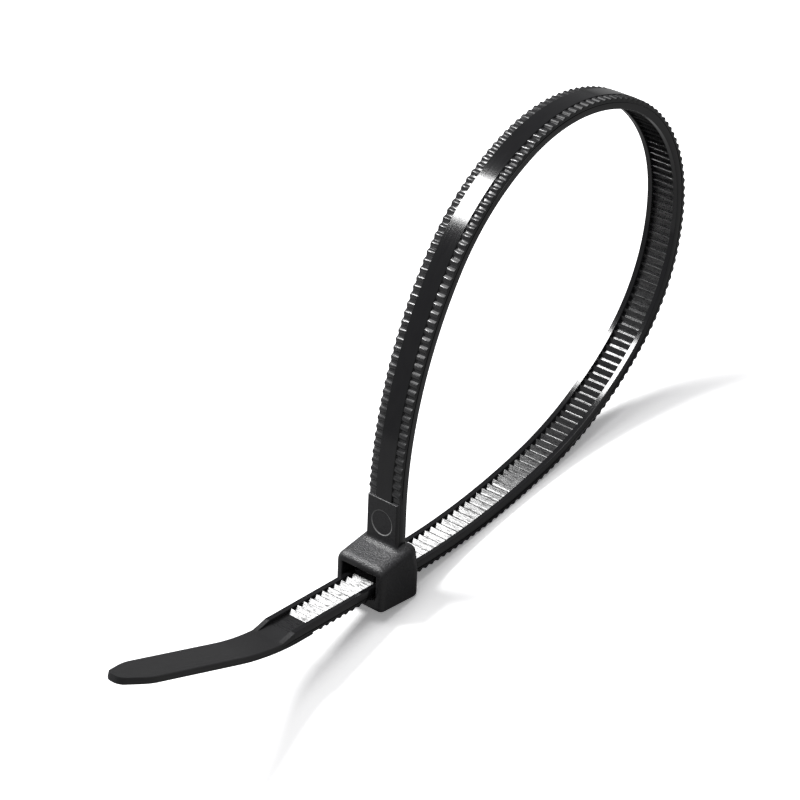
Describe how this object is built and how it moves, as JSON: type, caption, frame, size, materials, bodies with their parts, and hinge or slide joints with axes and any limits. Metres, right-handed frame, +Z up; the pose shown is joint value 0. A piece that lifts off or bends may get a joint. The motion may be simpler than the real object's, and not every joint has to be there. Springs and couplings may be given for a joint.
{
  "type": "cable tie",
  "caption": "Self-locking nylon cable tie closed into a loop: toothed strap with ribbed edges through a boxy ratchet head, and a flat tapered tail that curls up.",
  "frame": {"origin": "middle of the part's bottom: on the ground line, halfway between the tail's end and the far end of the loop, on the strap's centre plane", "axes": "+X from the tail through the head to the far end of the loop, +Y across the strap's width, +Z up as the tie stands"},
  "size_m": [0.1008, 0.0076, 0.0469],
  "materials": {
    "nylon": "black moulded nylon, satin to glossy on the rails and centre band, finely textured on the head and between the teeth"
  },
  "bodies": {
    "root": {"cable_tie": "nylon"}
  },
  "joints": []
}
